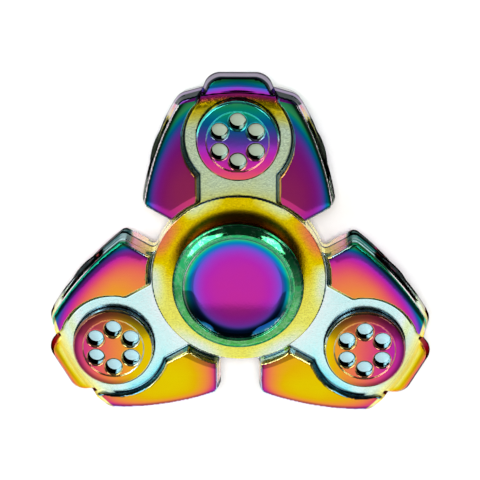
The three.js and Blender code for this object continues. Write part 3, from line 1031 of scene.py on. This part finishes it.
def disc_material():
    paint = Paint("rainbow_weight")
    along, across, arm_y = paint.fold()
    flat = abs(paint.normal_z)
    above_centre = paint.y - arm_y * DISC_AT
    from_centre = (along - DISC_AT).hypot(across)
    up = arm_y.ease(0, 1)
    low_arm = 1.0 - up
    phase = disc_phase(paint, along, arm_y, from_centre)
    colour = paint.film(phase.low(1))
    # The weights' bevels get a painted highlight: paler plating mixed with warm white, and cyan on the top
    # arm's upper side.
    bright = paint.blend(0.25, paint.film((phase - 0.14).top(0).low(1)), "fff4e0")
    bright = paint.blend(above_centre.ease(-1, 2) * up, bright, "58e8e0")
    colour = paint.blend(flat.between(0.35, 0.5, 0.9, 0.98), colour, bright)

    sunk = paint.height.ease(3.4, 3.3) * from_centre.ease(4.7, 4.6)
    floor = sunk * flat.ease(0.75, 0.95) * paint.height.ease(2.3, 2.15)
    # Hole walls are painted near black, a painted shade, with painted glints of white cyan in patches on
    # the side facing -X; the hole floors are pale.
    glint = paint.normal_x.ease(-0.1, -0.35) * paint.noise(0.8, 2.0).ease(0.38, 0.46)
    colour = paint.blend(sunk, colour, paint.blend(glint, "05090d", "d4f6fa"))
    colour = paint.blend(floor, colour, paint.blend(up, "c2eaf3", "b2c0aa"))
    # The outer wall is painted dark navy on the lower arms and dark teal on the top arm, a painted dark
    # reflection, with pale streaks as painted highlights.
    wall = flat.ease(0.4, 0.2) * from_centre.ease(5.8, 6.0)
    streak = paint.noise(1.3, 4.0, 0.7, (1.0, 1.0, 4.0)).ease(0.5, 0.66)
    rim = paint.blend(up, "17364e", "0b3b36")
    colour = paint.blend(wall, colour, paint.blend(streak * 0.7, rim, "a6dcec"))

    # dim: the lower arms' weights painted darker and maroon on the outer and upper side of their ring, a
    # painted shade. middle: the top arm's weight painted darker towards its centre, also painted shade.
    outer_side = (along - DISC_AT).ease(-1.5, 4.5) * from_centre.ease(5.0, 5.9)
    upper_side = above_centre.ease(2.0, 5.0) * from_centre.ease(4.5, 5.6)
    dim = outer_side.top(upper_side) * low_arm * flat.ease(0.5, 0.7) * (1.0 - sunk)
    middle = up * from_centre.ease(4.5, 3.0) * (1.0 - sunk)
    colour = paint.blend(dim * 0.6, colour, "5a0a30")
    fine = paint.noise(2.0, 4.0, 0.6)
    grain = paint.noise(8.0, 3.0, 0.6)
    tone = 1.0 + (grain - 0.5) * floor * 0.4 - middle * 0.2 - dim * 0.3
    roughness = 0.09 + (fine - 0.5) * 0.05 + floor * 0.3
    # shaft: specular tint near black on the hole walls, which keeps their painted shade dark.
    shaft = sunk * (1.0 - floor) * (1.0 - glint)
    paint.link(paint.blend(shaft, "ffffff", "080808"), paint.shader.inputs["Specular Tint"])
    paint.link((1.0 - floor * 0.8).socket, paint.shader.inputs["Metallic"])
    return paint.finish(paint.shade(colour, tone), roughness, fine * 0.15 + grain * floor, 0.3)


# Radii where a cap's paint changes: the edge of the dish and the start of the sloping rim.
DISH_EDGE = 7.9
RIM_START = 8.28


def cap_material():
    paint = Paint("rainbow_cap")
    reach, height = paint.reach, paint.height
    cloud = (paint.noise(0.5, 2.0) - 0.5) * 0.02
    warm = paint.y.ease(4, -6) * -0.02
    dish = 0.61 + warm + (reach / 7.7).low(1.1) ** 4.6 * 0.36 + cloud
    colour = paint.film(dish.low(1))
    # The crest is painted green, near white towards -X as a painted highlight.
    crest = paint.blend(paint.x.ease(-5, -7), "44d894", "e4fff2")
    colour = paint.blend(reach.ease(DISH_EDGE, DISH_EDGE + 0.08), colour, crest)
    colour = paint.blend(reach.ease(8.08, 8.14), colour, "2ab070")
    rim = paint.blend(paint.y.ease(6, -8), "34c87a", "5cb862")
    rim = paint.blend(reach.ease(9.3, 9.6), rim, "1c8a58")
    colour = paint.blend(reach.ease(RIM_START, RIM_START + 0.12), colour, rim)
    # low_edge: the dish's lower edge painted dark navy, a painted dark reflection. rim_side: the rim's
    # sides painted dark green, also a painted dark reflection.
    low_edge = reach.between(6.2, 7.2, 7.96, 8.02) * paint.y.ease(-1, -4)
    colour = paint.blend(low_edge * 0.92, colour, "0a1548")
    rim_side = abs(paint.x).ease(6.5, 9.4) * reach.ease(9.35, 9.75)
    colour = paint.blend(rim_side * 0.7, colour, "0a3020")
    # below: the wall under the rim painted dark green, a painted shade, going brown lower down as a
    # painted reflection of the hub's gold ring.
    below = height.ease(5.55, 5.35)
    colour = paint.blend(below, colour, paint.blend(height.ease(5.2, 3.2), "14603c", "8a6a1c"))
    # Specular tint toned down to dark green on the rim and the dish's lower edge: a painted darkening of
    # their reflections.
    glare = paint.blend(reach.ease(8.2, 8.5).top(low_edge), "ffffff", "2c5040")
    paint.link(glare, paint.shader.inputs["Specular Tint"])
    fine = paint.noise(2.5, 4.0, 0.6)
    wear = (abs(paint.noise(0.7, 5.0, 0.7) - 0.5) * -60.0).exp()
    wear = wear * reach.ease(7.6, 7.9) * height.ease(5.5, 5.7)
    colour = paint.blend(wear * 0.3, colour, "f0fff6")
    roughness = 0.05 + (fine - 0.5) * 0.04 + below * 0.2 + wear * 0.1
    return paint.finish(colour, roughness, fine * 0.1 + wear * 0.1, 0.2)


def steel_material(name, code, rough, grain_scale, stretch):
    paint = Paint(name)
    brushed = paint.noise(grain_scale, 4.0, 0.6, stretch)
    colour = paint.blend(brushed, code, "dfe3e8")
    return paint.finish(colour, rough + (brushed - 0.5) * 0.12, brushed, 0.25)


casting = body_material()
weight_paint = disc_material()
cap_paint = cap_material()
race_steel = steel_material("ground_steel", "a4a8ae", 0.24, 1.2, (1.0, 1.0, 14.0))
ball_steel = steel_material("lapped_steel", "c8ccd2", 0.08, 3.0, (1.0, 1.0, 1.0))
clip_steel = steel_material("spring_wire", "b8bcc4", 0.2, 2.0, (6.0, 6.0, 1.0))
cage_brass = steel_material("machined_brass", "b98f3e", 0.3, 1.5, (1.0, 1.0, 10.0))


# ------------------------------ pieces

CASTING_MARGIN = 0.6
CASTING_STEP = 0.17
CASTING_TRIANGLES = 190_000
WEIGHT_MARGIN = 0.3
WEIGHT_STEP = 0.12
WEIGHT_TRIANGLES = 60_000

box_low, box_high = body_low - CASTING_MARGIN, body_high + CASTING_MARGIN
casting_mesh = field_mesh("body", body_field, box_low, box_high, CASTING_STEP, CASTING_TRIANGLES)
piece("casting", casting_mesh, "body", casting, "rotor")

disc_box = np.array([DISC_RADIUS, DISC_RADIUS, DISC_TOP]) + WEIGHT_MARGIN
weight_mesh = field_mesh("weight", disc_field, -disc_box, disc_box, WEIGHT_STEP, WEIGHT_TRIANGLES)
for index in range(ARMS):
    copy = weight_mesh.copy()
    turn = Matrix.Rotation(2 * math.pi * index / ARMS, 4, "Z")
    out = Matrix.Translation((0, DISC_AT * MM, 0))
    copy.transform(turn @ out @ Matrix.Rotation(math.pi / 2, 4, "Z"))
    piece(f"weight_{index + 1}", copy, f"weight_disc_{index + 1}", weight_paint, "rotor")


def arc(centre, radius, start, end, steps):
    """Points of an arc in a profile, angles in degrees from the outward direction."""
    angles = np.radians(np.linspace(start, end, steps + 1))
    return [(centre[0] + radius * math.cos(a), centre[1] + radius * math.sin(a)) for a in angles]


# A cap: its dish, its head and boss, and the stud and sleeve that hold the two caps together.
DISH_RADIUS = 8.0
DISH_FLOOR = 5.70
DISH_STEPS = 28
DISH_BEND = 6.4
HEAD_RADIUS = 8.9
HEAD_BOTTOM = 2.8
BOSS_RADIUS = 4.1
STUD_RADIUS = 2.0
STUD_END = -1.9
STUD_BEVEL = 0.3
SLEEVE_RADIUS = 3.15
SLEEVE_TOP = 2.2
SLEEVE_BORE = 2.06
SLEEVE_FLOOR = -3.4
CAP_SEGMENTS = 192


def cap_outline():
    """Half profile of a cap's head from its boss, up the wall, over the crest and into the dish."""
    dish = []
    for i in range(1, DISH_STEPS + 1):
        radius = DISH_RADIUS * (1 - i / DISH_STEPS)
        bend = max(0.0, (radius - DISH_BEND) / (DISH_RADIUS - DISH_BEND))
        dish.append((radius, DISH_FLOOR + 0.0042 * radius**2 + 0.5 * bend**2))
    return [
        (BOSS_RADIUS, inner_high[2]),
        (BOSS_RADIUS, HEAD_BOTTOM),
        (HEAD_RADIUS, HEAD_BOTTOM),
        *arc((HEAD_RADIUS, HEAD_BOTTOM + 0.25), 0.25, -90, -20, 4),
        (9.45, 4.6),
        *arc((9.5, 5.4), 0.34, -15, 42, 6),
        *arc((6.86, 2.75), 4.0, 46, 66, 10),
        *arc((8.42, 6.3), 0.2, 68, 90, 3),
        (8.06, 6.5),
        *arc((8.1, 6.42), 0.08, 100, 170, 4),
        *dish,
    ]


stud = [
    (0, STUD_END),
    (STUD_RADIUS - STUD_BEVEL, STUD_END),
    (STUD_RADIUS, STUD_END + STUD_BEVEL),
    (STUD_RADIUS, inner_high[2]),
]
top_cap = turned_mesh("finger_cap_top", [*stud, *cap_outline()], CAP_SEGMENTS)
piece("cap_top", top_cap, "finger_cap_top", cap_paint, "grips")

sleeve = [
    (SLEEVE_RADIUS, inner_low[2]),
    (SLEEVE_RADIUS, SLEEVE_TOP),
    (SLEEVE_BORE, SLEEVE_TOP),
    (SLEEVE_BORE, SLEEVE_FLOOR),
    (0, SLEEVE_FLOOR),
]
low_head = [(radius, -height) for radius, height in cap_outline()][::-1]
low_cap = turned_mesh("finger_cap_bottom", [*low_head, *sleeve], CAP_SEGMENTS)
piece("cap_bottom", low_cap, "finger_cap_bottom", cap_paint, "grips")


SHARP_ANGLE = 35


def repaint(node, material):
    """Keeps a CAD node as it is and gives it a finish."""
    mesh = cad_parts[node].data
    mesh.shade_smooth()
    mesh.set_sharp_from_angle(angle=math.radians(SHARP_ANGLE))
    mesh.materials.clear()
    mesh.materials.append(material)


for side in ("top", "bottom"):
    repaint(f"bearing_shield_{side}", race_steel)
    repaint(f"shield_clip_{side}", clip_steel)
repaint("bearing_outer_race", race_steel)
repaint("bearing_inner_race", race_steel)
repaint("bearing_cage", cage_brass)
for index in range(BALLS):
    repaint(f"bearing_ball_{index + 1:02d}", ball_steel)


# ------------------------------ studio


LAMP = (35, 330, 900)
LAMP_SIZE = 350
LAMP_WATTS = 8.0
FLOOR_HALF = 1500
FLOOR_GAP = 0.02


def pale_floor():
    """A sheet of pale paper just below the lower cap."""
    corners = np.array([(-1, -1, 0), (1, -1, 0), (1, 1, 0), (-1, 1, 0)]) * FLOOR_HALF
    floor_mesh = mesh_from("floor", corners, [(0, 1, 2, 3)])
    floor = bpy.data.objects.new("floor", floor_mesh)
    floor.location.z = (-CAP_TOP - FLOOR_GAP) * MM
    bpy.context.scene.collection.objects.link(floor)
    paint = Paint("pale_floor")
    paint.shader.inputs["Metallic"].default_value = 0.0
    paper = paint.noise(0.6, 3.0)
    colour = paint.blend(paper, "f2f2f1", "f8f8f7")
    floor_mesh.materials.append(paint.finish(colour, 0.7 + paper * 0.1, paper, 0.05))


def surroundings():
    """The light that the plating reflects: a dim ceiling, a bright front, two boxes and a dark patch."""
    world = bpy.data.worlds.new("studio")
    bpy.context.scene.world = world
    world.use_nodes = True
    tree = world.node_tree
    place = tree.nodes.new("ShaderNodeTexCoord")
    split = tree.nodes.new("ShaderNodeSeparateXYZ")
    tree.links.new(place.outputs["Generated"], split.inputs[0])
    x, y, z = [Value(tree, out) for out in split.outputs]
    aside = abs(x + 0.03)
    far_left = x.ease(-0.58, -0.72)
    ceiling = y.ease(-0.3, 0.2).mix(0.46, 0.14) * aside.ease(0.1, 0.32).mix(1.0, 0.4)
    ceiling = far_left.mix(ceiling, 0.75)
    front = y.ease(-0.318, -0.34)
    beside_front = aside.ease(0.17, 0.3) * y.ease(-0.6, -0.48)
    low_front = z.ease(0.1, 0.8).mix(0.8, 1.0) * (1.0 - beside_front * 0.4)
    left_box = x.between(-0.82, -0.78, -0.3, -0.27) * y.between(0.1, 0.16, 0.59, 0.62)
    right_box = x.between(0.36, 0.39, 0.7, 0.74) * y.between(0.2, 0.26, 0.59, 0.62)
    boxes = (left_box + right_box) * z.ease(0.45, 0.55)
    dark_patch = y.ease(0.36, 0.42) * x.between(-0.28, -0.25, 0.33, 0.36) * z.ease(0.4, 0.5)
    glow = front.mix(ceiling, low_front)
    glow = dark_patch.mix(glow, 0.03) + boxes * 3.5
    background = tree.nodes["Background"]
    background.inputs["Color"].default_value = (1.0, 1.0, 1.0, 1.0)
    tree.links.new(glow.socket, background.inputs["Strength"])


def fill_lamp():
    """A soft round lamp, high up on the +Y side and left out of the reflections."""
    fill = bpy.data.lights.new("fill", "AREA")
    fill.shape = "DISK"
    fill.size = LAMP_SIZE * MM
    fill.energy = LAMP_WATTS
    lamp = bpy.data.objects.new("fill", fill)
    lamp.location = Vector(LAMP) * MM
    lamp.rotation_euler = Vector(LAMP).to_track_quat("Z", "Y").to_euler()
    lamp.visible_glossy = False
    bpy.context.scene.collection.objects.link(lamp)


CAMERA_EYE = (12.965, 128.305, 328.54)
CAMERA_TARGET = (0.279, 6.714, 3.66)
CAMERA_UP = (-0.00824, 0.93663, -0.35023)
CAMERA_LENS = 175.16
CAMERA_CLIP = 10


def camera():
    """A long lens from above the +Y arm, with that arm at the top of the picture."""
    eye = Vector(CAMERA_EYE) * MM
    target = Vector(CAMERA_TARGET) * MM
    data = bpy.data.cameras.new("camera")
    data.lens = CAMERA_LENS
    data.clip_start = CAMERA_CLIP * MM
    made = bpy.data.objects.new("camera", data)
    back = (eye - target).normalized()
    up = Vector(CAMERA_UP)
    right = up.cross(back).normalized()
    up = back.cross(right)
    made.matrix_world = Matrix.Translation(eye) @ Matrix((right, up, back)).transposed().to_4x4()
    bpy.context.scene.collection.objects.link(made)
    bpy.context.scene.camera = made


pale_floor()
surroundings()
fill_lamp()
camera()
bpy.context.scene.view_settings.view_transform = "Standard"
